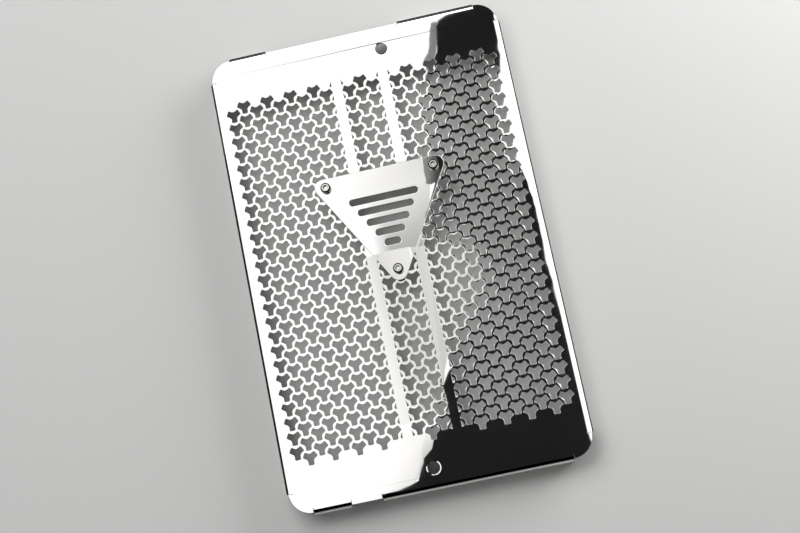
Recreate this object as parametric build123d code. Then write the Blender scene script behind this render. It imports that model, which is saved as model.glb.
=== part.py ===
"""Motorcycle radiator guard: a folded, pierced stainless sheet with a screwed-on triangular badge plate.

Millimetres. The guard lies face up on the rims of its folded flanges. X runs across it, Y up it and Z out of its
face. The origin is under the middle of the sheet, at the level of the rims.
"""

from build123d import *
from build123d.topology import SkipClean

import os
from math import cos, radians, sin, sqrt

# Sheet, measured over its flat corners
SHEET_WIDTH = 206.0
SHEET_HEIGHT = 322.0
SHEET_THICKNESS = 1.5
CORNER_RADIUS = 15.0

# Folded flanges, with the depth measured from the face to the rim
FLANGE_DEPTH = 14.0
BEND_RADIUS = 4.0
FLANGE_STAND_OUT = 1.7
RELIEF_WIDTH = 0.4
RELIEF_DEPTH = 0.6

# Stretches of the short edges that have no flange, as places across the sheet
TOP_GAP_LEFT = -62.0
TOP_GAP_RIGHT = 34.0
BOTTOM_GAP_LEFT = -62.5
BOTTOM_GAP_RIGHT = -41.0

# Field of three-armed openings
PITCH = 10.0
COLUMN_SPACING = 8.37
COLUMNS = 23
ROWS = 25
ARM_LENGTH = 4.85
ARM_WIDTH = 4.0
NOTCH_DISTANCE = 2.6

# Plain ribs that run up through the field, counted in columns from the middle one
RIB_COLUMN = 2
RIB_WIDTH = 7.0

# Holes for the two bolts that fix the guard
FIXING_HOLE_DIAMETER = 8.5
TOP_FIXING_X = 19.3
TOP_FIXING_Y = 144.3
BOTTOM_FIXING_X = -4.0
BOTTOM_FIXING_Y = -148.0

# Badge plate: an equilateral triangle, point down, with its side measured to the sharp corners
BADGE_SIDE = 100.0
BADGE_THICKNESS = 3.0
BADGE_CORNER_RADIUS = 6.0
BADGE_TOP_Y = 60.2
BADGE_EDGE_BREAK = 0.4

# Louvre slots in the badge, and the window behind them
SLOT_COUNT = 5
SLOT_WIDTH = 4.4
SLOT_SPACING = 8.0
FIRST_SLOT_DROP = 21.0
SLOT_END_MARGIN = 2.0
SEAT_SET_BACK = 1.0
SEAT_BAND = 8.0
WINDOW_CORNER_RADIUS = 5.0
LEAST_TRIMMED_AREA = 1.0

# M4 socket cap screws, washers and locking nuts
SCREW_DIAMETER = 4.0
SCREW_LENGTH = 12.0
SCREW_INSET = 14.0
SCREW_HOLE_CLEARANCE = 0.5
HEAD_DIAMETER = 7.0
HEAD_HEIGHT = 4.0
HEAD_EDGE_RADIUS = 0.8
SOCKET_ACROSS_FLATS = 3.0
SOCKET_DEPTH = 2.0
TIP_CHAMFER = 0.5
THREAD_CLEARANCE = 0.05
WASHER_DIAMETER = 9.0
WASHER_THICKNESS = 0.8
WASHER_CLEARANCE = 0.15
NUT_ACROSS_FLATS = 7.0
NUT_HEX_HEIGHT = 3.2
NUT_COLLAR_HEIGHT = 1.8
NUT_COLLAR_DIAMETER = 6.4
INSERT_DIAMETER = 5.4
INSERT_HEIGHT = 1.4
INSERT_CLEARANCE = 0.05

# Worked out from the sizes above
HALF_WIDTH = SHEET_WIDTH / 2
HALF_HEIGHT = SHEET_HEIGHT / 2
FACE_Z = FLANGE_DEPTH
BACK_Z = FACE_Z - SHEET_THICKNESS
BEND_SET_BACK = BEND_RADIUS - FLANGE_STAND_OUT
SIDE_BEND_X = HALF_WIDTH - BEND_SET_BACK
END_BEND_Y = HALF_HEIGHT - BEND_SET_BACK
STRAIGHT_X = HALF_WIDTH - CORNER_RADIUS
STRAIGHT_Y = HALF_HEIGHT - CORNER_RADIUS
OPENING_REACH = sqrt(ARM_LENGTH**2 + (ARM_WIDTH / 2) ** 2)
BADGE_INRADIUS = BADGE_SIDE / (2 * sqrt(3))
BADGE_CENTRE_Y = BADGE_TOP_Y - BADGE_INRADIUS
BADGE_TOP_Z = FACE_Z + BADGE_THICKNESS
SEAT_INRADIUS = BADGE_INRADIUS - SEAT_SET_BACK
WINDOW_INRADIUS = SEAT_INRADIUS - SEAT_BAND
SCREW_HOLE_DIAMETER = SCREW_DIAMETER + SCREW_HOLE_CLEARANCE
ARM_ANGLES = (-90.0, 30.0, 150.0)


def direction(angle):
    """Unit vector at an angle in degrees from +X."""
    return Vector(cos(radians(angle)), sin(radians(angle)))


def triangle(inradius, corner_radius):
    """Equilateral triangle face, point down, about the badge's centre, with rounded corners."""
    corners = [2 * inradius * direction(angle) for angle in ARM_ANGLES]
    sharp = Pos(0, BADGE_CENTRE_Y) * make_face(Polyline(*corners, close=True))
    return fillet(sharp.vertices(), corner_radius)


def screw_places():
    """Centres of the three screws, each inset from a sharp corner of the badge."""
    reach = 2 * BADGE_INRADIUS - SCREW_INSET
    return [Vector(0, BADGE_CENTRE_Y) + reach * direction(angle) for angle in ARM_ANGLES]


def beyond_seat(place):
    """How far a place lies outside the badge's seat, or below zero inside it."""
    offset = place - Vector(0, BADGE_CENTRE_Y)
    return max(offset.dot(-1 * direction(angle)) for angle in ARM_ANGLES) - SEAT_INRADIUS


def opening_face():
    """One three-armed opening about the origin, with an arm pointing down."""
    points = []
    for angle in ARM_ANGLES:
        along = ARM_LENGTH * direction(angle)
        across = ARM_WIDTH / 2 * direction(angle + 90)
        notch = NOTCH_DISTANCE * direction(angle + 60)
        points += [along - across, along + across, notch]
    return make_face(Polyline(*points, close=True))


def field_columns():
    """The x of each column of openings, with the y of each opening in it."""
    middle = COLUMNS // 2
    for column in range(COLUMNS):
        count = ROWS + column % 2
        heights = [(row - (count - 1) / 2) * PITCH for row in range(count)]
        yield column - middle, (column - middle) * COLUMN_SPACING, heights


def trimmed_outlines(shape):
    """Outlines of what is left of an opening, without crumbs too small to cut."""
    return [face.outer_wire() for face in shape.faces() if face.area > LEAST_TRIMMED_AREA]


def field_outlines():
    """Outlines of every opening, trimmed along the two ribs and round the badge's seat."""
    whole = opening_face()
    beside_rib = whole - Rectangle(RIB_WIDTH, 2 * PITCH)
    seat = triangle(SEAT_INRADIUS, BADGE_CORNER_RADIUS - SEAT_SET_BACK)
    outlines = []
    for offset, x, heights in field_columns():
        shape = beside_rib if abs(offset) == RIB_COLUMN else whole
        for y in heights:
            gap = beyond_seat(Vector(x, y))
            if gap <= -OPENING_REACH:
                continue
            placed = Pos(x, y) * shape
            if gap < OPENING_REACH:
                placed = placed - seat
            outlines += trimmed_outlines(placed)
    return outlines


def flange_spans():
    """Each flange as its outward angle, the distance of its bend line and its two ends along the edge."""
    return [
        (0, SIDE_BEND_X, -STRAIGHT_Y, STRAIGHT_Y),
        (180, SIDE_BEND_X, -STRAIGHT_Y, STRAIGHT_Y),
        (90, END_BEND_Y, -TOP_GAP_LEFT, STRAIGHT_X),
        (90, END_BEND_Y, -STRAIGHT_X, -TOP_GAP_RIGHT),
        (270, END_BEND_Y, -STRAIGHT_X, BOTTOM_GAP_LEFT),
        (270, END_BEND_Y, BOTTOM_GAP_RIGHT, STRAIGHT_X),
    ]


def flange_cut(angle, bend, start, end):
    """What a flange takes out of the flat sheet beyond its bend line, with a relief slit at each end."""
    depth = BEND_SET_BACK + BEND_RADIUS
    strip = Pos(bend + depth / 2, (start + end) / 2) * Rectangle(depth, end - start)
    for edge, side in ((start, -1), (end, 1)):
        slit = Rectangle(depth + RELIEF_DEPTH, RELIEF_WIDTH)
        strip += Pos(bend + (depth - RELIEF_DEPTH) / 2, edge + side * RELIEF_WIDTH / 2) * slit
    return Rot(0, 0, angle) * strip


def flange(angle, bend, start, end):
    """One folded flange: a quarter bend and a straight leg down to the rim."""
    inner = BEND_RADIUS - SHEET_THICKNESS
    axis_z = FACE_Z - BEND_RADIUS
    profile = (
        CenterArc((0, axis_z), BEND_RADIUS, 0, 90)
        + Line((0, FACE_Z), (0, BACK_Z))
        + CenterArc((0, axis_z), inner, 0, 90)
        + Polyline((inner, axis_z), (inner, 0), (BEND_RADIUS, 0), (BEND_RADIUS, axis_z))
    )
    middle = Plane((bend, (start + end) / 2, 0), x_dir=(1, 0, 0), z_dir=(0, -1, 0))
    return Rot(0, 0, angle) * extrude(middle * make_face(profile), (end - start) / 2, both=True)


def flat_blank():
    """The flat sheet inside its bend lines, with the badge's window and every round hole."""
    blank = RectangleRounded(SHEET_WIDTH, SHEET_HEIGHT, CORNER_RADIUS)
    for span in flange_spans():
        blank -= flange_cut(*span)
    blank -= triangle(WINDOW_INRADIUS, WINDOW_CORNER_RADIUS)
    blank -= Pos(TOP_FIXING_X, TOP_FIXING_Y) * Circle(FIXING_HOLE_DIAMETER / 2)
    blank -= Pos(BOTTOM_FIXING_X, BOTTOM_FIXING_Y) * Circle(FIXING_HOLE_DIAMETER / 2)
    for place in screw_places():
        blank -= Pos(place) * Circle(SCREW_HOLE_DIAMETER / 2)
    return blank


def zone_faces():
    """The flat sheet in zones that meet along the middle of each rib, where no opening is cut through."""
    blank = flat_blank()
    rib_x = RIB_COLUMN * COLUMN_SPACING
    for left, right in ((-HALF_WIDTH, -rib_x), (-rib_x, rib_x), (rib_x, HALF_WIDTH)):
        strip = Pos((left + right) / 2, 0) * Rectangle(right - left, SHEET_HEIGHT)
        yield from (blank & strip).faces()


def guard_plate():
    """The whole folded sheet as one solid."""
    openings = field_outlines()
    zones = []
    for zone in zone_faces():
        inside = [outline for outline in openings if zone.is_inside(outline.center())]
        pierced = Face(zone.outer_wire(), [*zone.inner_wires(), *inside])
        zones.append(Pos(0, 0, BACK_Z) * extrude(pierced, SHEET_THICKNESS))
    flanges = [flange(*span) for span in flange_spans()]
    with SkipClean():
        return zones[0].fuse(*zones[1:], *flanges)


def badge_plate():
    """Triangular badge plate with louvre slots that shorten towards its point."""
    plan = triangle(BADGE_INRADIUS, BADGE_CORNER_RADIUS)
    for index in range(SLOT_COUNT):
        y = BADGE_TOP_Y - FIRST_SLOT_DROP - index * SLOT_SPACING
        nearest_edge = y - SLOT_WIDTH / 2 - BADGE_CENTRE_Y + 2 * WINDOW_INRADIUS
        length = 2 * (nearest_edge / sqrt(3) - SLOT_END_MARGIN)
        plan -= Pos(0, y) * SlotOverall(length, SLOT_WIDTH)
    for place in screw_places():
        plan -= Pos(place) * Circle(SCREW_HOLE_DIAMETER / 2)
    plate = Pos(0, 0, FACE_Z) * extrude(plan, BADGE_THICKNESS)
    rim = plate.faces().sort_by(Axis.Z)[-1].outer_wire().edges()
    return chamfer(rim, BADGE_EDGE_BREAK)


def screw():
    """Socket cap screw about the origin, with its head's seat at zero and its shank below."""
    head = extrude(Circle(HEAD_DIAMETER / 2), HEAD_HEIGHT)
    head = fillet(head.edges().sort_by(Axis.Z)[-1], HEAD_EDGE_RADIUS)
    socket = RegularPolygon(SOCKET_ACROSS_FLATS / 2, 6, major_radius=False)
    head -= Pos(0, 0, HEAD_HEIGHT - SOCKET_DEPTH) * extrude(socket, SOCKET_DEPTH)
    shank = Pos(0, 0, -SCREW_LENGTH) * extrude(Circle(SCREW_DIAMETER / 2), SCREW_LENGTH)
    shank = chamfer(shank.edges().sort_by(Axis.Z)[0], TIP_CHAMFER)
    return head + shank


def washer():
    """Plain washer hanging down from zero."""
    ring = Circle(WASHER_DIAMETER / 2) - Circle(SCREW_DIAMETER / 2 + WASHER_CLEARANCE)
    return extrude(ring, -WASHER_THICKNESS)


def nut():
    """Locking nut hanging down from zero: a hexagon, and a round collar bored out for its insert."""
    bore = SCREW_DIAMETER / 2 + THREAD_CLEARANCE
    height = NUT_HEX_HEIGHT + NUT_COLLAR_HEIGHT
    body = extrude(RegularPolygon(NUT_ACROSS_FLATS / 2, 6, major_radius=False), -NUT_HEX_HEIGHT)
    body += extrude(Circle(NUT_COLLAR_DIAMETER / 2), -height)
    body -= extrude(Circle(bore), -height)
    pocket = extrude(Circle(INSERT_DIAMETER / 2 + INSERT_CLEARANCE), -INSERT_HEIGHT)
    return body - Pos(0, 0, INSERT_HEIGHT - height) * pocket


def insert():
    """Nylon ring that fills the nut's pocket, flush with the collar's end."""
    ring = Circle(INSERT_DIAMETER / 2) - Circle(SCREW_DIAMETER / 2 + THREAD_CLEARANCE)
    end = -(NUT_HEX_HEIGHT + NUT_COLLAR_HEIGHT)
    return Pos(0, 0, end + INSERT_HEIGHT) * extrude(ring, -INSERT_HEIGHT)


def at_screws(piece, z):
    """A group of three copies of a fastener, one at each screw, at a height."""
    copies = [(Pos(place.X, place.Y, z) * piece).solid() for place in screw_places()]
    return Compound(children=copies)


def main():
    """Writes each node of the guard to its own file."""
    nut_seat = BACK_Z - WASHER_THICKNESS
    nodes = {
        "guard_plate": guard_plate(),
        "badge_plate": badge_plate(),
        "badge_screws": at_screws(screw(), BADGE_TOP_Z),
        "badge_washers": at_screws(washer(), BACK_Z),
        "badge_nuts": at_screws(nut(), nut_seat),
        "nut_inserts": at_screws(insert(), nut_seat),
    }
    os.makedirs("parts", exist_ok=True)
    for name, shape in nodes.items():
        export_step(shape, f"parts/{name}.step", write_pcurves=False)


if __name__ == "__main__":
    main()
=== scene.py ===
"""Dresses the folded, pierced radiator guard: polished steel, rounded cut edges, real fasteners and a studio.

Every size is in millimetres until a piece is settled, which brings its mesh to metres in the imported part's frame:
X across the guard, Y up it and Z out of its polished face, with zero under the middle of the sheet at its rims.
"""

from __future__ import annotations

import logging
from collections.abc import Callable, Iterable
from dataclasses import dataclass, field
from enum import Enum
from math import cos, pi, radians, sin, sqrt, tan

import bmesh
import bpy
from bpy.types import Material, Node, NodeSocket, Object, Spline
from mathutils import Matrix, Vector

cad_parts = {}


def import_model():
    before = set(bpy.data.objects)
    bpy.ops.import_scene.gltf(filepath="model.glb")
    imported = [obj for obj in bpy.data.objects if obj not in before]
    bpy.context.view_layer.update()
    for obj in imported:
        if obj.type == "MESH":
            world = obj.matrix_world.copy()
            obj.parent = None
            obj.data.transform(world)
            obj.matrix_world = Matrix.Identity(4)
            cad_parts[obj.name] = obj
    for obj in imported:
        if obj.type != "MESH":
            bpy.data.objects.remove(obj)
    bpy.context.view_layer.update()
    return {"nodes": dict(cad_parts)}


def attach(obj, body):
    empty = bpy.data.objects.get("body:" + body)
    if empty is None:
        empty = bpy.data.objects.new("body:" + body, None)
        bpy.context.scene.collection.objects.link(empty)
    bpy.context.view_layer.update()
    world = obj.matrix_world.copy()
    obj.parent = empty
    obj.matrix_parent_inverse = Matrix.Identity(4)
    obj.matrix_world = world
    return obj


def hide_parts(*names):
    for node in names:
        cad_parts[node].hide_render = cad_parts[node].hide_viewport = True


log = logging.getLogger("radiator_guard")

MeshItem = bmesh.types.BMVert | bmesh.types.BMEdge | bmesh.types.BMFace

MM = 0.001
# Slack for finding points and faces by their place
NEAR = 0.01
FACE_Z = 14.0
SHEET_THICKNESS = 1.5
ARM_ANGLES = (-90.0, 30.0, 150.0)
PITCH = 10.0
COLUMN_SPACING = 8.37
RIB_COLUMN = 2
RIB_WIDTH = 7.0
BADGE_MIDDLE = Vector((0.0, 31.3325, 0.0))
BADGE_THICKNESS = 3.0
WINDOW_INRADIUS = 19.868
SCREW_HOLE = 4.5


class Element(Enum):
    """What a selection is made of."""

    VERTEX = "VERT"
    EDGE = "EDGE"
    FACE = "FACE"


class Duty(Enum):
    """What a light is for: to be mirrored in the steel, or to light the paper and the nylon."""

    MIRRORED = "mirrored"
    LIGHTING = "lighting"


class Side(Enum):
    """Sides of the guard, as the angle in degrees that each one faces."""

    RIGHT = 0.0
    TOP = 90.0
    LEFT = 180.0
    BOTTOM = 270.0


# Helpers for shaping


def heading(angle: float) -> Vector:
    """Unit vector in the sheet's plane, at an angle in degrees from +X."""
    return Vector((cos(radians(angle)), sin(radians(angle)), 0.0))


def clear_selection() -> None:
    """Leaves nothing selected, in object mode."""
    if bpy.context.mode != "OBJECT":
        bpy.ops.object.mode_set(mode="OBJECT")
    bpy.ops.object.select_all(action="DESELECT")


def pick(*pieces: Object) -> None:
    """Selects these pieces alone, the first one active."""
    clear_selection()
    for piece in pieces:
        piece.select_set(True)
    bpy.context.view_layer.objects.active = pieces[0]


def edit(piece: Object) -> None:
    """Opens a piece's mesh for editing."""
    pick(piece)
    bpy.ops.object.mode_set(mode="EDIT")


def middle_of(item: MeshItem) -> Vector:
    """Middle of a vertex, an edge or a face."""
    if isinstance(item, bmesh.types.BMVert):
        return item.co.copy()
    if isinstance(item, bmesh.types.BMEdge):
        return (item.verts[0].co + item.verts[1].co) / 2
    return item.calc_center_median()


def choose_items(element: Element, test: Callable[[MeshItem], bool]) -> int:
    """Selects what passes a test in the mesh that is open for editing.

    Args:
        element: Whether vertices, edges or faces are chosen.
        test: Takes each one and says whether it is chosen.

    Returns:
        How many were chosen.
    """
    bpy.ops.mesh.select_mode(type=element.value)
    bpy.ops.mesh.select_all(action="DESELECT")
    mesh = bpy.context.edit_object.data
    shape = bmesh.from_edit_mesh(mesh)
    items = {Element.VERTEX: shape.verts, Element.EDGE: shape.edges, Element.FACE: shape.faces}[element]
    chosen = [item for item in items if test(item)]
    for item in chosen:
        item.select_set(True)
    shape.select_flush_mode()
    bmesh.update_edit_mesh(mesh)
    return len(chosen)


def choose(element: Element, test: Callable[[Vector], bool]) -> int:
    """Selects what has its middle where a test says, and counts it."""
    return choose_items(element, lambda item: test(middle_of(item)))


def shift(offset: Vector | tuple[float, float, float]) -> None:
    """Moves the whole of the open mesh."""
    bpy.ops.mesh.select_all(action="SELECT")
    bpy.ops.transform.translate(value=offset)


def extend(offset: Vector | tuple[float, float, float]) -> None:
    """Extrudes what is chosen in the open mesh."""
    bpy.ops.mesh.extrude_region_move(TRANSFORM_OT_translate={"value": offset})


def close_up(gap: float = 0.001) -> None:
    """Merges points of the open mesh that are less than a gap apart, and turns its faces outwards."""
    bpy.ops.mesh.select_all(action="SELECT")
    bpy.ops.mesh.remove_doubles(threshold=gap)
    bpy.ops.mesh.normals_make_consistent(inside=False)


def cut_across(at: Vector, normal: Vector, test: Callable[[Vector], bool] = lambda middle: True) -> None:
    """Bisects the chosen faces of the open mesh along a plane.

    Args:
        at: A point of the plane.
        normal: The plane's normal.
        test: Takes the middle of each face and says whether it is cut.
    """
    if choose(Element.FACE, test):
        bpy.ops.mesh.bisect(plane_co=at, plane_no=normal)


def drop_faces(test: Callable[[Vector], bool]) -> None:
    """Deletes the faces of the open mesh whose middle passes a test."""
    if choose(Element.FACE, test):
        bpy.ops.mesh.delete(type="FACE")


def merge_flat_faces() -> None:
    """Makes one face of each flat patch of the open mesh."""
    bpy.ops.mesh.select_all(action="SELECT")
    bpy.ops.mesh.dissolve_limited(angle_limit=radians(0.5))


def join(pieces: Iterable[Object]) -> Object:
    """Joins pieces into the first of them."""
    pieces = list(pieces)
    pick(*pieces)
    bpy.ops.object.join()
    return bpy.context.object


def copy_of(piece: Object, matrix: Matrix) -> Object:
    """A copy of a piece with its own mesh, placed by a matrix."""
    twin = piece.copy()
    twin.data = piece.data.copy()
    bpy.context.collection.objects.link(twin)
    twin.data.transform(matrix)
    return twin


def apply_modifier(piece: Object, kind: str, **settings: object) -> None:
    """Adds a modifier to a piece with its settings and applies it."""
    pick(piece)
    modifier = piece.modifiers.new(kind.lower(), kind)
    for name, value in settings.items():
        setattr(modifier, name, value)
    bpy.ops.object.modifier_apply(modifier=modifier.name)


def repeat(piece: Object, count: int, step: tuple[float, float, float]) -> None:
    """Repeats a piece in a row.

    Args:
        piece: The piece, which becomes the whole row.
        count: How many there are in the row.
        step: The offset from one to the next.
    """
    apply_modifier(piece, "ARRAY", count=count, use_relative_offset=False, use_constant_offset=True,
                   constant_offset_displace=step)


def cut_out(piece: Object, cutter: Object) -> None:
    """Takes a cutter's volume out of a piece and deletes the cutter."""
    apply_modifier(piece, "BOOLEAN", operation="DIFFERENCE", object=cutter, solver="EXACT")
    bpy.data.objects.remove(cutter)


def rectangle(width: float, length: float) -> Object:
    """A flat rectangle about the origin, left open for editing with all of it chosen."""
    clear_selection()
    bpy.ops.mesh.primitive_plane_add(size=1)
    piece = bpy.context.object
    edit(piece)
    bpy.ops.mesh.select_all(action="SELECT")
    bpy.ops.transform.resize(value=(width, length, 1))
    return piece


def disc(radius: float, at: Vector, sides: int = 48, turn: float = 0.0) -> Object:
    """A flat round face, turned about its middle by an angle in radians."""
    clear_selection()
    bpy.ops.mesh.primitive_circle_add(vertices=sides, radius=radius, fill_type="NGON", location=at,
                                      rotation=(0, 0, turn))
    bpy.ops.object.transform_apply()
    return bpy.context.object


def rounded_triangle(inradius: float, corner: float, at: Vector, sides: int = 48) -> Object:
    """A flat equilateral triangle, point down, with rounded corners.

    Args:
        inradius: Distance from its middle to each side.
        corner: Radius of its corners.
        at: Its middle.
        sides: Steps round its three corners together.

    Returns:
        The triangle as one flat face.
    """
    piece = disc(corner, Vector(), sides, pi / sides)
    edit(piece)
    for angle in ARM_ANGLES:
        facing = heading(angle)
        choose(Element.VERTEX, lambda place, facing=facing: (
            place.length < corner * 1.01 and place.dot(facing) > corner * cos(radians(60))))
        bpy.ops.transform.translate(value=facing * 2 * (inradius - corner))
    shift(at)
    clear_selection()
    return piece


def turned_area(spline: Spline) -> float:
    """Area inside a closed flat spline, below zero where it runs clockwise."""
    places = [point.co for point in spline.points]
    return sum(a.x * b.y - b.x * a.y for a, b in zip(places, places[1:] + places[:1])) / 2


def wind_outlines(outlines: Object) -> None:
    """Runs the outermost outline of a flat curve one way and every hole the other way."""
    splines = outlines.data.splines
    areas = [turned_area(spline) for spline in splines]
    outermost = max(range(len(areas)), key=lambda index: abs(areas[index]))
    bpy.ops.object.mode_set(mode="EDIT")
    bpy.ops.curve.select_all(action="DESELECT")
    for index, area in enumerate(areas):
        if (area > 0) != (index == outermost):
            for point in splines[index].points:
                point.select = True
    bpy.ops.curve.switch_direction()
    bpy.ops.object.mode_set(mode="OBJECT")


def cut_plate(outlines: Object, back: float, thickness: float, edge: float, steps: int) -> Object:
    """Turns flat faces into one cut plate: the outermost outline is its edge and the others are holes in it.

    Args:
        outlines: The flat faces, whose borders are the outlines.
        back: Height of the plate's back.
        thickness: Thickness of the plate.
        edge: Radius that rounds every cut edge, front and back.
        steps: Steps in each rounded edge, less one.

    Returns:
        The plate as a mesh, with every cut edge rounded inside its outline.
    """
    edit(outlines)
    bpy.ops.mesh.select_all(action="SELECT")
    bpy.ops.mesh.delete(type="ONLY_FACE")
    clear_selection()
    pick(outlines)
    bpy.ops.object.convert(target="CURVE")
    wind_outlines(outlines)
    curve = outlines.data
    curve.dimensions = "2D"
    curve.fill_mode = "BOTH"
    curve.extrude = thickness / 2 - edge
    curve.bevel_depth = edge
    curve.bevel_resolution = steps
    curve.offset = -edge
    bpy.ops.object.convert(target="MESH")
    edit(outlines)
    shift((0, 0, back + thickness / 2))
    clear_selection()
    return outlines


def settle(piece: Object, name: str, finish: Material, smooth: float = 50.0) -> Object:
    """Brings a finished piece to metres at the origin, smooths it with its flats kept flat, and gives it its finish.

    Args:
        piece: The finished piece, in millimetres.
        name: Its name.
        finish: Its material.
        smooth: Angle in degrees up to which its shading runs on.

    Returns:
        The settled piece.
    """
    pick(piece)
    piece.scale = (MM, MM, MM)
    bpy.ops.object.transform_apply(location=True, rotation=True, scale=True)
    bpy.ops.object.shade_smooth_by_angle(angle=radians(smooth))
    apply_modifier(piece, "WEIGHTED_NORMAL", mode="FACE_AREA", weight=100, keep_sharp=True)
    piece.name = name
    piece.data.name = name
    piece.data.materials.clear()
    piece.data.materials.append(finish)
    log.info("%s: %d faces", name, len(piece.data.polygons))
    return piece


# Finishes


def to_linear(colour: str) -> tuple[float, float, float, float]:
    """Turns an sRGB hex colour into the linear one that a shader takes."""
    channels = [int(colour[place:place + 2], 16) / 255 for place in (1, 3, 5)]
    linear = [c / 12.92 if c <= 0.04045 else ((c + 0.055) / 1.055) ** 2.4 for c in channels]
    return (*linear, 1.0)


def add_node(material: Material, kind: str, settings: dict[str, object] | None = None,
             values: dict[str | int, object] | None = None, links: dict[str | int, NodeSocket] | None = None) -> Node:
    """Adds a node to a material.

    Args:
        material: The material.
        kind: The node's type.
        settings: Its own settings, by name.
        values: Values of its input sockets, by name or place.
        links: Sockets that feed its inputs, by the input's name or place.

    Returns:
        The node.
    """
    tree = material.node_tree
    node = tree.nodes.new(kind)
    for name, value in (settings or {}).items():
        setattr(node, name, value)
    for name, value in (values or {}).items():
        node.inputs[name].default_value = value
    for name, socket in (links or {}).items():
        tree.links.new(socket, node.inputs[name])
    return node


def reckon(material: Material, operation: str, *inputs: NodeSocket | float) -> NodeSocket:
    """Adds a piece of arithmetic on sockets and numbers to a material."""
    links = {place: value for place, value in enumerate(inputs) if isinstance(value, NodeSocket)}
    values = {place: value for place, value in enumerate(inputs) if place not in links}
    return add_node(material, "ShaderNodeMath", {"operation": operation}, values, links).outputs["Value"]


def noise(material: Material, place: NodeSocket, scale: float, detail: float) -> NodeSocket:
    """Adds soft noise over the places on a piece."""
    return add_node(material, "ShaderNodeTexNoise", values={"Scale": scale, "Detail": detail},
                    links={"Vector": place}).outputs["Fac"]


def spread(material: Material, source: NodeSocket, low: float, high: float,
           reach: tuple[float, float] = (0.0, 1.0)) -> NodeSocket:
    """Adds a map from a reach of the source to values from low to high."""
    return add_node(material, "ShaderNodeMapRange",
                    values={"From Min": reach[0], "From Max": reach[1], "To Min": low, "To Max": high},
                    links={"Value": source}).outputs["Result"]


def surface(material: Material, values: dict[str | int, object],
            links: dict[str | int, NodeSocket] | None = None) -> Material:
    """Gives a material its one shader and its output."""
    shader = add_node(material, "ShaderNodeBsdfPrincipled", values=values, links=links)
    add_node(material, "ShaderNodeOutputMaterial", links={"Surface": shader.outputs["BSDF"]})
    return material


def new_material(name: str) -> Material:
    """An empty node material."""
    material = bpy.data.materials.new(name)
    material.use_nodes = True
    material.node_tree.nodes.clear()
    return material


@dataclass(frozen=True)
class WebCamber:
    """The camber that a soft buffing wheel leaves on the webs between the openings.

    Waves that run with the field of openings put a low crest along the middle of every web, so one side of a web
    mirrors what is to its left and the other side what is to its right.
    """

    column_spacing: float = COLUMN_SPACING
    pitch: float = PITCH
    height: float = 0.018
    lean: float = 0.3
    rib: float = RIB_COLUMN * COLUMN_SPACING
    rib_half: float = RIB_WIDTH / 2
    rib_fade: float = 0.5
    reach: tuple[float, float] = (93.0, 121.0)
    fade: float = 3.0

    def crests(self, material: Material, place: NodeSocket) -> NodeSocket:
        """Adds the waves up: three that repeat with the openings and three finer ones that lean them to the arms."""
        turn, rise = pi / (self.column_spacing * MM), pi / (self.pitch * MM)
        moved = add_node(material, "ShaderNodeVectorMath", {"operation": "ADD"},
                         {1: (0, self.pitch / 2 * MM, 0)}, {0: place}).outputs["Vector"]
        waves = [("COSINE", (2 * turn, 0, 0), -1.0), ("COSINE", (turn, 2 * rise, 0), -1.0),
                 ("COSINE", (-turn, 2 * rise, 0), -1.0), ("SINE", (0, -4 * rise, 0), self.lean),
                 ("SINE", (3 * turn, 2 * rise, 0), self.lean), ("SINE", (-3 * turn, 2 * rise, 0), self.lean)]
        total = 0.0
        for kind, run, weight in waves:
            phase = add_node(material, "ShaderNodeVectorMath", {"operation": "DOT_PRODUCT"}, {1: run}, {0: moved})
            wave = reckon(material, kind, phase.outputs["Value"])
            total = reckon(material, "MULTIPLY_ADD", wave, weight, total)
        return total

    def in_field(self, material: Material, place: NodeSocket) -> NodeSocket:
        """One on the webs, and zero on the margins and the two plain ribs."""
        axes = add_node(material, "ShaderNodeSeparateXYZ", links={"Vector": place}).outputs
        across, up = reckon(material, "ABSOLUTE", axes["X"]), reckon(material, "ABSOLUTE", axes["Y"])
        beside = reckon(material, "ABSOLUTE", reckon(material, "SUBTRACT", across, self.rib * MM))
        share = 1.0
        for distance, start, end in ((across, self.reach[0], self.reach[0] + self.fade),
                                     (up, self.reach[1], self.reach[1] + self.fade),
                                     (beside, self.rib_half + self.rib_fade, self.rib_half)):
            part = spread(material, distance, 1.0, 0.0, (start * MM, end * MM))
            share = reckon(material, "MULTIPLY", share, part)
        return share

    def add_to(self, material: Material, place: NodeSocket, normal: NodeSocket) -> NodeSocket:
        """Raises the camber on a surface.

        Args:
            material: The sheet's material.
            place: Places on the sheet.
            normal: The surface's normal so far.

        Returns:
            The normal with the camber.
        """
        bump = add_node(material, "ShaderNodeBump", values={"Distance": self.height * MM},
                        links={"Height": self.crests(material, place), "Strength": self.in_field(material, place),
                               "Normal": normal})
        return bump.outputs["Normal"]


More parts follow.
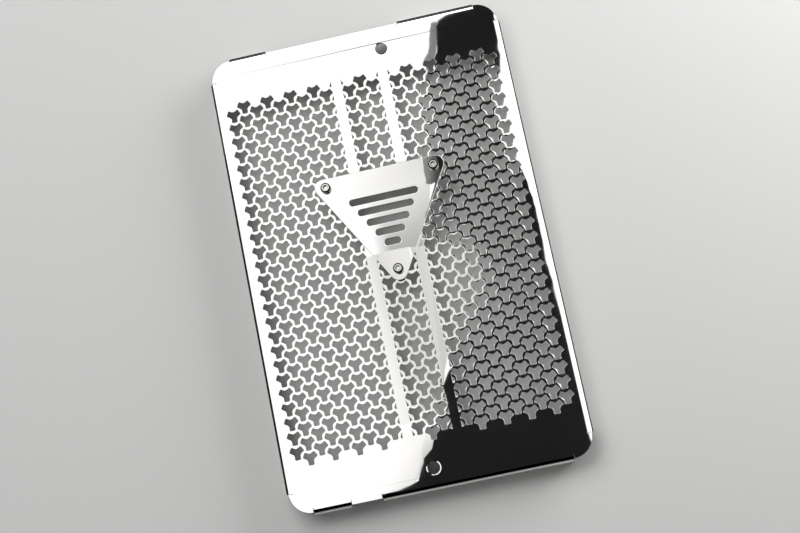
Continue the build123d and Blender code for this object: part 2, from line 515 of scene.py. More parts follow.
@dataclass(frozen=True)
class PolishedStainless:
    """Sheet stainless steel, buffed to a mirror: a near-white metal that shows the studio with a slight waviness.

    Rolling, cutting and buffing leave slopes of well under a degree, long waves over the sheet and short ones from
    web to web, which bend the reflected edges. Buffing compound leaves faint cloudy patches in the gloss.
    """

    name: str
    camber: WebCamber | None = None
    colour: str = "#DCDBD9"
    roughness: float = 0.01
    haze: float = 0.025
    cloud: float = 22.0
    long_wave: float = 60.0
    long_height: float = 0.12
    short_wave: float = 14.0
    short_height: float = 0.012

    def material(self) -> Material:
        """Builds the finish."""
        material = new_material(self.name)
        place = add_node(material, "ShaderNodeTexCoord").outputs["Object"]
        cloud = noise(material, place, 1 / (self.cloud * MM), 4.0)
        gloss = spread(material, cloud, self.roughness, self.haze, (0.35, 0.7))
        links = {}
        for wave, height in ((self.long_wave, self.long_height), (self.short_wave, self.short_height)):
            links["Height"] = noise(material, place, 1 / (wave * MM), 1.0)
            bump = add_node(material, "ShaderNodeBump", values={"Strength": 1.0, "Distance": height * MM}, links=links)
            links["Normal"] = bump.outputs["Normal"]
        normal = links["Normal"]
        if self.camber:
            normal = self.camber.add_to(material, place, normal)
        return surface(material, {"Base Color": to_linear(self.colour), "Metallic": 1.0},
                       {"Roughness": gloss, "Normal": normal})


@dataclass(frozen=True)
class MillFinish:
    """Cold-rolled stainless steel that was never buffed, on the sheet's back: an even dull grey that mirrors nothing.

    Faint streaks run along the rolling direction, up the guard.
    """

    name: str
    colour: str = "#8F8E8C"
    roughness: float = 0.4
    variation: tuple[float, float] = (-0.06, 0.08)
    streak: float = 1.2
    streak_length: float = 60.0

    def material(self) -> Material:
        """Builds the finish."""
        material = new_material(self.name)
        place = add_node(material, "ShaderNodeTexCoord").outputs["Object"]
        thin, long = 1 / (self.streak * MM), 1 / (self.streak_length * MM)
        drawn = add_node(material, "ShaderNodeVectorMath", {"operation": "MULTIPLY"}, {1: (thin, long, thin)},
                         {0: place})
        low, high = self.variation
        gloss = spread(material, noise(material, drawn.outputs["Vector"], 1.0, 3.0), self.roughness + low,
                       self.roughness + high, (0.3, 0.7))
        return surface(material, {"Base Color": to_linear(self.colour), "Metallic": 1.0}, {"Roughness": gloss})


@dataclass(frozen=True)
class TurnedStainless:
    """Stainless steel as the lathe and the thread roller leave it: bright, with fine rings and a soft gloss."""

    name: str
    colour: str = "#B9B8B5"
    roughness: float = 0.22
    variation: tuple[float, float] = (-0.06, 0.08)
    ring: float = 0.25
    ring_height: float = 0.01

    def material(self) -> Material:
        """Builds the finish."""
        material = new_material(self.name)
        place = add_node(material, "ShaderNodeTexCoord").outputs["Object"]
        grain = noise(material, place, 1 / (self.ring * MM), 3.0)
        low, high = self.variation
        gloss = spread(material, grain, self.roughness + low, self.roughness + high, (0.3, 0.7))
        bump = add_node(material, "ShaderNodeBump", values={"Strength": 0.3, "Distance": self.ring_height * MM},
                        links={"Height": grain})
        return surface(material, {"Base Color": to_linear(self.colour), "Metallic": 1.0},
                       {"Roughness": gloss, "Normal": bump.outputs["Normal"]})


@dataclass(frozen=True)
class MouldedNylon:
    """Moulded nylon: a slightly waxy blue with the faint mottle of its mould."""

    name: str
    colour: str = "#2A5A9C"
    roughness: float = 0.42
    variation: float = 0.08
    mottle: float = 0.5

    def material(self) -> Material:
        """Builds the finish."""
        material = new_material(self.name)
        place = add_node(material, "ShaderNodeTexCoord").outputs["Object"]
        gloss = spread(material, noise(material, place, 1 / (self.mottle * MM), 2.0),
                       self.roughness - self.variation, self.roughness + self.variation)
        return surface(material, {"Base Color": to_linear(self.colour), "IOR": 1.53, "Subsurface Weight": 0.05},
                       {"Roughness": gloss})


@dataclass(frozen=True)
class BlackNet:
    """Black net on a frame, doubled where it is to be dense: the steel mirrors it as black or grey."""

    name: str
    colour: str = "#303030"

    def material(self) -> Material:
        """Builds the finish."""
        material = new_material(self.name)
        cover = add_node(material, "ShaderNodeAttribute", {"attribute_name": "cover"})
        holes = add_node(material, "ShaderNodeBsdfTransparent")
        thread = add_node(material, "ShaderNodeBsdfDiffuse", values={"Color": to_linear(self.colour)})
        net = add_node(material, "ShaderNodeMixShader",
                       links={"Fac": cover.outputs["Fac"], 1: holes.outputs["BSDF"], 2: thread.outputs["BSDF"]})
        add_node(material, "ShaderNodeOutputMaterial", links={"Surface": net.outputs["Shader"]})
        return material


@dataclass(frozen=True)
class PlainSurface:
    """Matt studio surface: the pale sweep paper, or black card that the steel mirrors as black."""

    name: str
    colour: str
    roughness: float = 0.9

    def material(self) -> Material:
        """Builds the finish."""
        material = new_material(self.name)
        return surface(material, {"Base Color": to_linear(self.colour), "Roughness": self.roughness,
                                  "Specular IOR Level": 0.15})


# Pieces


@dataclass(frozen=True)
class Flange:
    """One folded edge of the sheet."""

    side: Side
    bend: float
    start: float
    end: float

    def local(self, place: Vector) -> tuple[float, float]:
        """How far out a place is on this side, and how far along it."""
        out = heading(self.side.value)
        along = heading(self.side.value + 90)
        return place.dot(out), place.dot(along)


@dataclass
class PiercedSheet:
    """The folded steel sheet with its field of three-armed openings."""

    width: float = 206.0
    height: float = 322.0
    corner: float = 15.0
    bend_radius: float = 4.0
    stand_out: float = 1.7
    slit_width: float = 0.25
    top_gap: tuple[float, float] = (-62.0, 34.0)
    bottom_gap: tuple[float, float] = (-62.5, -41.0)
    pitch: float = PITCH
    column_spacing: float = COLUMN_SPACING
    columns: int = 23
    rows: int = 25
    arm_length: float = 4.74
    arm_width: float = 3.8
    arm_corner: float = 0.4
    notch_radius: float = 2.3
    least_area: float = 1.0
    rib_column: int = RIB_COLUMN
    rib_width: float = RIB_WIDTH
    fixing_diameter: float = 8.5
    fixings: tuple[tuple[float, float], ...] = ((19.3, 144.3), (-4.0, -148.0))
    fixing_lip: float = 0.5
    screw_hole: float = SCREW_HOLE
    seat_inradius: float = 27.868
    seat_corner: float = 5.0
    seat_turns: tuple[float, ...] = (-40.0, -20.0, 0.0, 20.0, 40.0)
    window_inradius: float = WINDOW_INRADIUS
    window_corner: float = 5.0
    cut_edge: float = 0.28
    lead_in: float = 0.5
    bend_steps: int = 14
    screw_places: list[Vector] = field(default_factory=list)

    def flanges(self) -> list[Flange]:
        """Every folded edge."""
        inner = self.bend_radius - self.stand_out
        side, end = self.width / 2 - inner, self.height / 2 - inner
        across, up = self.width / 2 - self.corner, self.height / 2 - self.corner
        return [
            Flange(Side.RIGHT, side, -up, up),
            Flange(Side.LEFT, side, -up, up),
            Flange(Side.TOP, end, -self.top_gap[0], across),
            Flange(Side.TOP, end, -across, -self.top_gap[1]),
            Flange(Side.BOTTOM, end, -across, self.bottom_gap[0]),
            Flange(Side.BOTTOM, end, self.bottom_gap[1], across),
        ]

    def blank(self) -> Object:
        """The flat sheet inside its bends, as one face with a slit at each flange's end."""
        piece = rectangle(self.width, self.height)
        bpy.ops.mesh.bevel(offset=self.corner, segments=16, affect="VERTICES")
        for flange in self.flanges():
            out, along = heading(flange.side.value), heading(flange.side.value + 90)
            edge = flange.bend - self.lead_in + self.cut_edge
            root = flange.bend - self.lead_in
            for distance in (edge, root):
                cut_across(out * distance, out)
            for distance in (flange.start - self.slit_width, flange.start, flange.end,
                             flange.end + self.slit_width):
                cut_across(along * distance, along)

        def is_taken(middle: Vector) -> bool:
            for flange in self.flanges():
                out, along = flange.local(middle)
                if out > flange.bend - self.lead_in + self.cut_edge and flange.start < along < flange.end:
                    return True
                slit = max(flange.start - along, along - flange.end)
                if out > flange.bend - self.lead_in and 0 < slit < self.slit_width:
                    return True
            return False

        drop_faces(is_taken)
        merge_flat_faces()
        clear_selection()
        return piece

    def opening(self) -> Object:
        """One three-armed opening about the origin, with its inner corners rounded."""
        core = self.arm_width / sqrt(3)
        clear_selection()
        bpy.ops.mesh.primitive_circle_add(vertices=3, radius=core, fill_type="NGON")
        piece = bpy.context.object
        edit(piece)
        for angle in ARM_ANGLES:
            root = heading(angle) * core / 2
            choose(Element.EDGE, lambda middle, root=root: (middle - root).length < NEAR)
            extend(heading(angle) * (self.arm_length - core / 2))
        merge_flat_faces()
        choose(Element.VERTEX, lambda middle: middle.length < core * 1.01)
        bpy.ops.mesh.bevel(offset=self.notch_radius * tan(radians(30)), segments=3, affect="VERTICES")
        choose(Element.VERTEX, lambda middle: middle.length > self.arm_length)
        bpy.ops.mesh.bevel(offset=self.arm_corner, segments=1, affect="VERTICES")
        clear_selection()
        return piece

    def beyond_seat(self, place: Vector) -> float:
        """How far a place lies outside the badge's seat, or below zero inside it."""
        offset = place - BADGE_MIDDLE
        return max(offset.dot(facing) - reach for facing, reach in self.seat_sides())

    def seat_sides(self) -> list[tuple[Vector, float]]:
        """The badge's seat as the direction and distance of each straight side and of each step of its corners."""
        sides = [(heading(angle + 180), self.seat_inradius) for angle in ARM_ANGLES]
        core = 2 * (self.seat_inradius - self.seat_corner)
        for angle in ARM_ANGLES:
            for turn in self.seat_turns:
                sides.append((heading(angle + turn), self.seat_corner + core * cos(radians(turn))))
        return sides

    def openings(self) -> Object:
        """Every opening, trimmed along the ribs and round the badge's seat."""
        middle = self.columns // 2
        single = self.opening()
        fields = []
        for first, rows in ((0, self.rows), (1, self.rows + 1)):
            count = (self.columns + 1 - first) // 2
            start = Vector(((first - middle) * self.column_spacing, -(rows - 1) / 2 * self.pitch, 0))
            rank = copy_of(single, Matrix.Translation(start))
            repeat(rank, rows, (0, self.pitch, 0))
            repeat(rank, count, (2 * self.column_spacing, 0, 0))
            fields.append(rank)
        bpy.data.objects.remove(single)
        piece = join(fields)
        edit(piece)
        rib = self.rib_column * self.column_spacing
        for side in (-1, 1):
            for border in (-1, 1):
                cut_across(Vector((side * rib + border * self.rib_width / 2, 0, 0)), Vector((1, 0, 0)))
        drop_faces(lambda middle: abs(abs(middle.x) - rib) < self.rib_width / 2)
        reach = self.arm_length + 1.0
        drop_faces(lambda middle: self.beyond_seat(middle) < -reach)
        for facing, distance in self.seat_sides():
            cut_across(BADGE_MIDDLE + facing * distance, facing,
                       lambda middle: self.beyond_seat(middle) < reach)
        drop_faces(lambda middle: self.beyond_seat(middle) < 0)
        merge_flat_faces()
        choose_items(Element.FACE, lambda face: face.calc_area() < self.least_area)
        bpy.ops.mesh.delete(type="FACE")
        clear_selection()
        return piece

    def folded(self, flange: Flange) -> Object:
        """One flange: a short flat lead-in, a quarter bend and a straight leg down to the rim."""
        length, middle = flange.end - flange.start, (flange.start + flange.end) / 2
        clear_selection()
        bpy.ops.mesh.primitive_plane_add(size=1, rotation=(0, pi / 2, 0))
        piece = bpy.context.object
        bpy.ops.object.transform_apply()
        edit(piece)
        bpy.ops.mesh.select_all(action="SELECT")
        bpy.ops.transform.resize(value=(1, length, SHEET_THICKNESS))
        bpy.ops.transform.translate(
            value=(flange.bend - self.lead_in, middle, FACE_Z - SHEET_THICKNESS / 2))
        extend((self.lead_in, 0, 0))
        bpy.ops.mesh.spin(steps=self.bend_steps, angle=pi / 2, axis=(0, -1, 0),
                          center=(flange.bend, 0, FACE_Z - self.bend_radius))
        extend((0, 0, self.bend_radius - FACE_Z))
        close_up()
        clear_selection()
        piece.data.transform(Matrix.Rotation(radians(flange.side.value), 4, "Z"))
        return piece

    def ease_fixings(self, flat: Object) -> None:
        """Widens the rounded lip of each fixing hole on the face."""
        edit(flat)
        rim = self.fixing_diameter / 2 + self.cut_edge
        for x, y in self.fixings:
            middle = Vector((x, y, FACE_Z))
            choose(Element.VERTEX, lambda place, middle=middle: (
                place.z > FACE_Z - NEAR and (place - middle).length < rim + 10 * NEAR))
            growth = 1 + self.fixing_lip / rim
            bpy.ops.transform.resize(value=(growth, growth, 1), center_override=middle)
        clear_selection()

    def is_back(self, place: Vector) -> bool:
        """Whether a place in millimetres is on the back of the flat or on the inner side of a flange."""
        inset = self.stand_out - SHEET_THICKNESS + NEAR
        return (abs(place.x) < self.width / 2 + inset and abs(place.y) < self.height / 2 + inset
                and place.z < FACE_Z - SHEET_THICKNESS + NEAR)

    def build(self, finish: Material, back: Material) -> Object:
        """Builds the whole sheet.

        Args:
            finish: The material of its face and edges.
            back: The material of its back.

        Returns:
            The sheet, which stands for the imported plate.
        """
        holes = [self.openings(), rounded_triangle(self.window_inradius, self.window_corner, BADGE_MIDDLE)]
        holes += [disc(self.fixing_diameter / 2, Vector((x, y, 0))) for x, y in self.fixings]
        holes += [disc(self.screw_hole / 2, place, 32) for place in self.screw_places]
        outlines = join([self.blank(), *holes])
        flat = cut_plate(outlines, FACE_Z - SHEET_THICKNESS, SHEET_THICKNESS, self.cut_edge, 1)
        self.ease_fixings(flat)
        sheet = join([flat, *(self.folded(flange) for flange in self.flanges())])
        sheet = settle(sheet, "pierced_sheet", finish)
        sheet.data.materials.append(back)
        for face in sheet.data.polygons:
            if self.is_back(Vector(face.center) / MM):
                face.material_index = 1
        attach(sheet, "root")
        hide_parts("guard_plate")
        return sheet


@dataclass
class BadgePlate:
    """The triangular plate on the sheet, with louvre slots that shorten towards its point."""

    side: float = 100.0
    thickness: float = BADGE_THICKNESS
    corner: float = 6.0
    cut_edge: float = 0.4
    slots: int = 5
    slot_width: float = 4.4
    slot_spacing: float = 8.0
    first_drop: float = 21.0
    end_margin: float = 2.0
    window_inradius: float = WINDOW_INRADIUS
    screw_inset: float = 14.0
    screw_hole: float = SCREW_HOLE

    def inradius(self) -> float:
        """Distance from the plate's middle to each side."""
        return self.side / (2 * sqrt(3))

    def screw_places(self) -> list[Vector]:
        """Centre of each screw, inset from a sharp corner."""
        reach = 2 * self.inradius() - self.screw_inset
        return [BADGE_MIDDLE + heading(angle) * reach for angle in ARM_ANGLES]

    def slot(self, index: int) -> Object:
        """One louvre slot as a flat face with round ends."""
        y = BADGE_MIDDLE.y + self.inradius() - self.first_drop - index * self.slot_spacing
        nearest = y - self.slot_width / 2 - BADGE_MIDDLE.y + 2 * self.window_inradius
        length = 2 * (nearest / sqrt(3) - self.end_margin)
        stretch = (length - self.slot_width) / 2
        piece = disc(self.slot_width / 2, Vector(), 32, pi / 32)
        edit(piece)
        for end in (-1, 1):
            choose(Element.VERTEX, lambda place, end=end: place.x * end > 0)
            bpy.ops.transform.translate(value=(end * stretch, 0, 0))
        shift((0, y, 0))
        clear_selection()
        return piece

    def build(self, finish: Material) -> Object:
        """Builds the plate.

        Args:
            finish: Its material.

        Returns:
            The plate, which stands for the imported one.
        """
        shapes = [rounded_triangle(self.inradius(), self.corner, BADGE_MIDDLE, 96)]
        shapes += [self.slot(index) for index in range(self.slots)]
        shapes += [disc(self.screw_hole / 2, place, 32) for place in self.screw_places()]
        plate = cut_plate(join(shapes), FACE_Z, self.thickness, self.cut_edge, 3)
        plate = settle(plate, "louvred_badge", finish)
        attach(plate, "root")
        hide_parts("badge_plate")
        return plate


@dataclass
class CapScrews:
    """The three socket cap screws that hold the badge, with their threads."""

    places: list[Vector]
    seat: float = FACE_Z + BADGE_THICKNESS
    diameter: float = 4.0
    length: float = 12.0
    head_diameter: float = 7.0
    head_height: float = 4.0
    head_edge: float = 1.05
    head_foot: float = 0.2
    socket: float = 3.0
    socket_depth: float = 2.0
    chamfer_depth: float = 0.25
    chamfer_reach: float = 0.1
    thread_pitch: float = 0.7
    thread_depth: float = 0.28
    thread_start: float = 0.3
    thread_flank: float = 0.45
    thread_crest: float = 0.1
    plain_tip: float = 0.6
    tip_chamfer: float = 0.4
    knurls: int = 36
    knurl_depth: float = 0.14
    knurl_foot: float = 0.3
    turns: tuple[float, ...] = (12.0, 41.0, -20.0)

    def head(self) -> Object:
        """The head, with a rounded edge and a chamfered hexagon socket."""
        clear_selection()
        bpy.ops.mesh.primitive_cylinder_add(vertices=64, radius=self.head_diameter / 2 - 2 * NEAR,
                                            depth=self.head_height, location=(0, 0, self.head_height / 2))
        piece = bpy.context.object
        bpy.ops.object.transform_apply()
        edit(piece)
        choose(Element.FACE, lambda middle: middle.z > self.head_height - NEAR)
        bpy.ops.mesh.bevel(offset=self.head_edge, segments=6, affect="EDGES")
        choose(Element.FACE, lambda middle: middle.z < NEAR)
        bpy.ops.mesh.bevel(offset=self.head_foot, segments=2, affect="EDGES")
        clear_selection()
        across = self.socket / sqrt(3)
        bpy.ops.mesh.primitive_cylinder_add(vertices=6, radius=across, depth=self.socket_depth * 2,
                                            location=(0, 0, self.head_height))
        cut_out(piece, bpy.context.object)
        clear_selection()
        narrow = across + self.chamfer_reach - self.chamfer_depth
        bpy.ops.mesh.primitive_cone_add(vertices=48, radius1=narrow, radius2=narrow + 1.0, depth=1.0,
                                        location=(0, 0, self.head_height - self.chamfer_depth + 0.5))
        cut_out(piece, bpy.context.object)
        return piece

    def knurl(self) -> Object:
        """The knurled band round the head, as fine upright grooves."""
        clear_selection()
        bpy.ops.mesh.primitive_circle_add(vertices=2 * self.knurls, radius=self.head_diameter / 2 + NEAR)
        piece = bpy.context.object
        edit(piece)
        choose_items(Element.VERTEX, lambda vertex: vertex.index % 2 == 0)
        inner = 1 - 2 * self.knurl_depth / self.head_diameter
        bpy.ops.transform.resize(value=(inner, inner, 1))
        shift((0, 0, self.knurl_foot))
        extend((0, 0, self.head_height - self.head_edge - self.knurl_foot))
        close_up()
        clear_selection()
        return piece

    def thread(self) -> Object:
        """The rolled thread as one ridge wound down the shank."""
        clear_selection()
        root = self.diameter / 2 - self.thread_depth
        bpy.ops.mesh.primitive_plane_add(size=1)
        piece = bpy.context.object
        edit(piece)
        bpy.ops.mesh.select_all(action="SELECT")
        bpy.ops.mesh.merge(type="CENTER")
        bpy.ops.transform.translate(value=(root, 0, -self.thread_start * self.thread_pitch))
        for out, down in ((self.thread_depth, self.thread_flank), (0, self.thread_crest),
                          (-self.thread_depth, self.thread_flank)):
            extend((out, 0, -down * self.thread_pitch))
        clear_selection()
        rounds = int((self.length - self.plain_tip) / self.thread_pitch) - 1
        apply_modifier(piece, "SCREW", axis="Z", angle=2 * pi, screw_offset=-self.thread_pitch, steps=28,
                       render_steps=28, iterations=rounds, use_merge_vertices=True, merge_threshold=0.001)
        edit(piece)
        close_up(0.002)
        clear_selection()
        return piece

    def core(self) -> Object:
        """The plain core of the shank, with its chamfered tip."""
        clear_selection()
        root = self.diameter / 2 - self.thread_depth
        bpy.ops.mesh.primitive_cylinder_add(vertices=40, radius=root + NEAR / 2, depth=self.length,
                                            location=(0, 0, -self.length / 2))
        piece = bpy.context.object
        bpy.ops.object.transform_apply()
        edit(piece)
        choose(Element.FACE, lambda middle: middle.z < NEAR - self.length)
        bpy.ops.mesh.bevel(offset=self.tip_chamfer, segments=2, affect="EDGES")
        clear_selection()
        return piece

    def build(self, finish: Material, edge: Material, side: Material) -> Object:
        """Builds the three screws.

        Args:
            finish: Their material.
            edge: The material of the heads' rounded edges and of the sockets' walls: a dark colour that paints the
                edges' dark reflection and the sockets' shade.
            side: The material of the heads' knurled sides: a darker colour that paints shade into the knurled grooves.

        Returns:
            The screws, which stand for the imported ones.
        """
        single = join([self.head(), self.knurl(), self.thread(), self.core()])
        screws = []
        for place, turn in zip(self.places, self.turns):
            spot = Matrix.Translation(place + Vector((0, 0, self.seat)))
            screws.append(copy_of(single, spot @ Matrix.Rotation(radians(turn), 4, "Z")))
        bpy.data.objects.remove(single)
        piece = settle(join(screws), "cap_screws", finish)
        piece.data.materials.append(edge)
        piece.data.materials.append(side)
        flat = self.head_diameter / 2 - self.head_edge * 1.05
        for face in piece.data.polygons:
            place = Vector(face.center) / MM
            off_axis = min((place.xy - spot.xy).length for spot in self.places)
            sunk = self.head_height - NEAR > place.z - self.seat > self.head_height - self.socket_depth + 10 * NEAR
            # Faces of the rounded head edges and of the socket walls take the dark material: painted dark reflection
            # on the edges, painted shade in the sockets.
            if place.z > self.seat and (off_axis > flat or sunk and off_axis < self.socket):
                # Faces low on the head's side take the darker side material, painted shade for the knurled grooves.
                low = place.z < self.seat + self.head_height - self.head_edge
                face.material_index = 2 if low and off_axis > flat else 1
        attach(piece, "root")
        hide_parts("badge_screws")
        return piece


# Studio


@dataclass(frozen=True)
class Softbox:
    """A rectangular soft light."""

    name: str
    at: tuple[float, float, float]
    size: tuple[float, float]
    towards: tuple[float, float, float]
    radiance: float
    duty: Duty

    def build(self) -> Object:
        """Hangs the light, facing its target, unseen by the camera itself."""
        lamp = bpy.data.lights.new(self.name, "AREA")
        lamp.shape = "RECTANGLE"
        lamp.size, lamp.size_y = self.size
        lamp.energy = self.radiance * pi * self.size[0] * self.size[1]
        light = bpy.data.objects.new(self.name, lamp)
        bpy.context.collection.objects.link(light)
        light.location = self.at
        light.rotation_euler = (Vector(self.towards) - Vector(self.at)).to_track_quat("-Z", "Y").to_euler()
        light.visible_camera = False
        light.visible_diffuse = self.duty is Duty.LIGHTING
        light.visible_glossy = self.duty is Duty.MIRRORED
        return light


@dataclass(frozen=True)
class Flag:
    """A net hung over the guard, given by its reflection on the sheet's face.

    Each corner is a place on the sheet and how much of the light the net covers there. Past the corners the net
    thins out over the soft width.
    """

    name: str
    corners: tuple[tuple[float, float, float], ...]
    soft: float


def dense(*places: tuple[float, float], cover: float = 1.0) -> tuple[tuple[float, float, float], ...]:
    """Corners that all have the same cover."""
    return tuple((x, y, cover) for x, y in places)


FLAGS = (
    Flag("dark_side", dense(
        (58.5, 152), (57.5, 143), (56.5, 133), (53, 126), (46, 112), (42, 96), (42, 70), (43, 60), (42, 30), (34, 8),
        (30, 3), (43, 0.5), (51, -7), (57, -17), (57, -34), (51, -48), (39, -60), (27, -75), (19, -88), (13.5, -96),
        (14, -108), (8, -118),
        (2, -124), (-1, -130), (-4, -136), (-11, -141), (-13.5, -148), (-16, -154), (-26, -156.5), (-38, -158.5),
        (-50, -162), (-60, -290), (112, -290), (101.5, -150), (101.4, -68), (101, -37), (101, -23),
        (100.4, -6), (99.9, 8), (99.4, 20), (98.2, 31), (96.2, 38.5), (91, 50), (88, 66),
        (90, 102), (97, 109), (99.5, 122), (101, 134), (101.5, 146), (102, 175), (92, 175), (88, 160.5),
        (76, 159.6), (69, 158.4), (61, 156.6)), 0.8),
    Flag("top_strip", dense((44, 126), (49.5, 134.5), (52.5, 146), (56, 156.5), (60, 156), (57.5, 143), (56, 133),
                            (52, 124), cover=0.8), 1.6),
    Flag("bottom_fall", ((-42, -128, 0.0), (-6, -123, 0.12), (1, -126, 0.22), (-4, -136, 0.4), (-10, -141, 0.45),
                         (-14, -150, 0.4), (-20, -156, 0.25), (-46, -160, 0.0)), 0.5),
    Flag("badge_left_low", ((-15, 14, 0.0), (-15, 1.6, 0.0), (-2, 1.6, 0.58), (-2, 14, 0.44)), 0.05),
    Flag("badge_left_high", ((-15, 42, 0.0), (-15, 14, 0.0), (-2, 14, 0.44), (-2, 42, 0.12)), 0.05),
    Flag("badge_low", ((-2, 14, 0.44), (-2, 1.6, 0.58), (24, 1.6, 0.6), (28, 14, 0.5)), 0.05),
    Flag("badge_high", ((-2, 42, 0.12), (-2, 14, 0.44), (28, 14, 0.5), (34, 42, 0.3)), 0.05),
    Flag("badge_top", ((-30, 60, 0.02), (-20, 42, 0.08), (31, 42, 0.26), (32, 62, 0.3), (0, 62, 0.12)), 0.8),
    Flag("badge_corner", ((33, 64, 0.74), (30.2, 40.5, 0.76), (34.5, 39, 0.82), (38.3, 39.8, 0.94), (27.2, 20, 0.95),
                          (21, 9, 0.95), (24, 3, 0.95), (46, 3, 0.98), (46, 64, 0.98)), 0.4),
    Flag("left_veil", ((-34, 1.6, 0.0), (-34, -116, 0.0), (-12, -116, 0.2), (-12, 1.6, 0.36)), 0.05),
    Flag("middle_veil", ((-12, 1.6, 0.3), (-12, -116, 0.2), (10, -112, 0.38), (10, 1.6, 0.2)), 0.05),
    Flag("rib_veil", ((11, 1.6, 0.4), (11, -112, 0.36), (14, -96, 0.45), (21.5, -72, 0.45), (21.5, 1.6, 0.36)), 0.6),
    Flag("right_veil", ((21.5, 1.6, 0.16), (21.5, -80, 0.25), (27, -75, 0.3), (39, -60, 0.34), (51, -48, 0.38),
                        (57, -34, 0.42), (57, -17, 0.42), (51, -7, 0.36), (43, 1.6, 0.28)), 0.8),
)

# Black boards on the sweep beside the guard, as the places of two corners: only the steel's mirror shows them
BOARDS = (
    ("left_board", (-1700.0, -900.0), (-109.0, 900.0)),
    ("right_board", (120.0, -900.0), (1700.0, 900.0)),
    ("back_board", (-900.0, 166.0), (900.0, 1700.0)),
)

# Lights for the steel to mirror, and lights for the paper
LIGHTS = (
    Softbox("ceiling", (-0.45, 0.69, 1.5), (6.9, 2.12), (-0.45, 0.69, 0.0), 1.5, Duty.MIRRORED),
    Softbox("back_light", (-0.2, 1.25, 1.46), (4.6, 1.0), (-0.2, 1.25, 0.0), 1.6, Duty.MIRRORED),
    Softbox("right_wall", (2.6, 0.5, 0.75), (3.0, 1.0), (0.0, 0.3, 0.4), 2.2, Duty.MIRRORED),
    Softbox("key", (-0.7, 1.2, 1.55), (2.2, 1.4), (0.0, 0.0, 0.0), 3.5, Duty.LIGHTING),
    Softbox("fill", (0.0, 0.0, 2.4), (12.0, 12.0), (0.0, 0.0, 0.0), 0.23, Duty.LIGHTING),
    Softbox("right_glow", (0.8, 0.5, 0.25), (0.8, 0.3), (0.25, 0.15, 0.0), 14.0, Duty.LIGHTING),
)

# Dim panels low in front of the guard and behind it, for the steel to mirror when seen from low down
END_PANELS = (
    Softbox("front_panel", (0.0, -3.2, 0.5), (3.0, 1.0), (0.0, 0.0, 0.5), 0.25, Duty.MIRRORED),
    Softbox("back_panel", (0.0, 3.4, 0.75), (3.0, 1.5), (0.0, 0.0, 0.75), 0.15, Duty.MIRRORED),
)


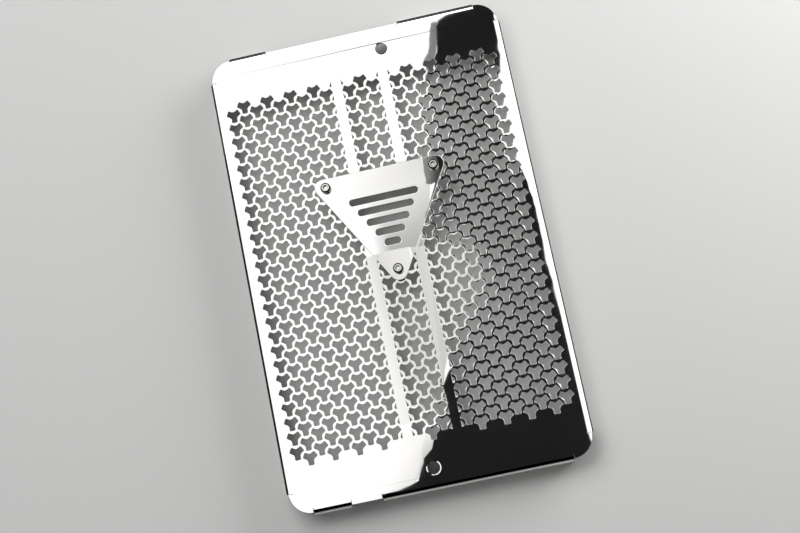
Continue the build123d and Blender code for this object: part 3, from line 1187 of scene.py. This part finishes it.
@dataclass
class Studio:
    """The pale sweep, the soft light and the camera."""

    eye: Vector = field(default_factory=lambda: Vector((48.41, -171.25, 881.66)))
    right: tuple[float, float, float] = (0.9757, -0.1997, -0.0901)
    up: tuple[float, float, float] = (0.2125, 0.9628, 0.1667)
    back: tuple[float, float, float] = (0.0535, -0.1818, 0.9819)
    lens: float = 58.30
    sensor: float = 36.0
    sweep_size: float = 7.0
    paper: str = "#D3D3D2"
    card: str = "#0C0C0C"
    horizon: str = "#BEBEBD"
    board_lift: float = 0.4
    flag_height: float = 1300.0
    flag_step: float = 12.0
    panel_angles: tuple[float, ...] = (45.0, 135.0, 225.0, 315.0)
    panel_distance: float = 3.5
    panel_height: float = 1.35
    panel_size: tuple[float, float] = (3.6, 2.5)
    panel_radiance: float = 0.4

    def camera(self) -> None:
        """Places the camera over the guard."""
        data = bpy.data.cameras.new("camera")
        data.lens = self.lens
        data.sensor_width = self.sensor
        data.clip_start = 0.01
        camera = bpy.data.objects.new("camera", data)
        bpy.context.collection.objects.link(camera)
        turn = Matrix((self.right, self.up, self.back)).transposed()
        camera.matrix_world = Matrix.Translation(self.eye * MM) @ turn.to_4x4()
        bpy.context.scene.camera = camera

    def floor(self, finish: Material) -> None:
        """Lays the sweep."""
        clear_selection()
        bpy.ops.mesh.primitive_plane_add(size=self.sweep_size)
        sweep = bpy.context.object
        sweep.name = "sweep"
        sweep.data.materials.append(finish)

    def board(self, name: str, low: tuple[float, float], high: tuple[float, float], finish: Material) -> None:
        """Lays a board on the sweep that only mirrors see.

        Args:
            name: Name of the board.
            low: Its lower left corner.
            high: Its upper right corner.
            finish: Its material.
        """
        board = rectangle((high[0] - low[0]) * MM, (high[1] - low[1]) * MM)
        shift(((high[0] + low[0]) / 2 * MM, (high[1] + low[1]) / 2 * MM, self.board_lift * MM))
        clear_selection()
        board.name = name
        board.data.materials.append(finish)
        board.visible_camera = board.visible_diffuse = board.visible_shadow = False

    def hang(self, flag: Flag, level: float, finish: Material) -> None:
        """Hangs a flag where the camera sees it mirrored in the sheet.

        Args:
            flag: The flag.
            level: Its height over the sheet.
            finish: Its material.
        """
        stretch = level / (self.eye.z - FACE_Z)
        places = []
        for x, y, _ in flag.corners:
            across, up = x + (x - self.eye.x) * stretch, y + (y - self.eye.y) * stretch
            places.append(Vector((across, up, FACE_Z + level)) * MM)
        clear_selection()
        bpy.ops.mesh.primitive_circle_add(vertices=len(places), radius=1.0, fill_type="NGON")
        card = bpy.context.object
        card.name = flag.name
        for vertex, place in zip(card.data.vertices, places):
            vertex.co = place
        edit(card)
        bpy.ops.mesh.select_mode(type="FACE")
        bpy.ops.mesh.select_all(action="SELECT")
        bpy.ops.mesh.inset(thickness=flag.soft * (1 + stretch) * MM, use_outset=True)
        clear_selection()
        cover = card.data.attributes.new("cover", "FLOAT", "POINT")
        for vertex in card.data.vertices:
            nearest = min(range(len(places)), key=lambda index: (vertex.co - places[index]).length)
            inside = (vertex.co - places[nearest]).length < MM
            cover.data[vertex.index].value = flag.corners[nearest][2] if inside else 0.0
        card.data.materials.append(finish)
        card.visible_camera = card.visible_diffuse = False

    def corner_panels(self) -> list[Softbox]:
        """Grey panels off the guard's corners, for the steel to mirror when seen from low down."""
        panels = []
        for angle in self.panel_angles:
            across, up, _ = heading(angle) * self.panel_distance
            panels.append(Softbox(f"panel_{angle:.0f}", (across, up, self.panel_height), self.panel_size,
                                  (0.0, 0.0, self.panel_height), self.panel_radiance, Duty.MIRRORED))
        return panels

    def build(self) -> None:
        """Sets the studio up."""
        self.camera()
        self.floor(PlainSurface("sweep_paper", self.paper).material())
        net = BlackNet("black_net").material()
        for index, flag in enumerate(FLAGS):
            self.hang(flag, self.flag_height - self.flag_step * index, net)
        black = PlainSurface("black_card", self.card).material()
        for name, low, high in BOARDS:
            self.board(name, low, high, black)
        for light in (*LIGHTS, *self.corner_panels(), *END_PANELS):
            light.build()
        world = bpy.data.worlds.new("studio")
        world.use_nodes = True
        world.node_tree.nodes["Background"].inputs["Color"].default_value = to_linear(self.horizon)
        world.cycles_visibility.diffuse = world.cycles_visibility.glossy = False
        bpy.context.scene.world = world
        bpy.context.scene.view_settings.view_transform = "Standard"


def dress_backing(nodes: dict[str, Object]) -> None:
    """Gives the fasteners behind the sheet their finishes.

    Args:
        nodes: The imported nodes, by name.
    """
    steel = TurnedStainless("turned_stainless").material()
    nylon = MouldedNylon("moulded_nylon").material()
    for name, finish in (("badge_washers", steel), ("badge_nuts", steel), ("nut_inserts", nylon)):
        node = nodes[name]
        node.data.materials.clear()
        node.data.materials.append(finish)
        log.info("%s: dressed", name)


def main() -> None:
    """Builds the guard, piece by piece, and the studio."""
    logging.basicConfig(level=logging.INFO, format="%(message)s")
    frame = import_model()
    badge = BadgePlate()
    sheet = PiercedSheet(screw_places=badge.screw_places())
    sheet.build(PolishedStainless("mirror_buffed_stainless_sheet", WebCamber()).material(),
                MillFinish("mill_finish_stainless_back").material())
    badge.build(PolishedStainless("mirror_buffed_stainless_plate").material())
    screws = CapScrews(badge.screw_places())
    screws.build(PolishedStainless("bright_stainless_screw", colour="#DAD9D6", roughness=0.2, haze=0.26).material(),
                 # A near-black colour: painted dark reflection on the heads' rounded edges and painted shade on the
                 # socket walls.
                 TurnedStainless("screw_edge_painted_reflection_and_shade", colour="#262625").material(),
                 # A darkened grey: painted shade on the knurled sides of the heads.
                 TurnedStainless("knurled_side_painted_shade", colour="#62615E").material())
    dress_backing(frame["nodes"])
    Studio().build()
    clear_selection()


if __name__ == "__main__":
    main()
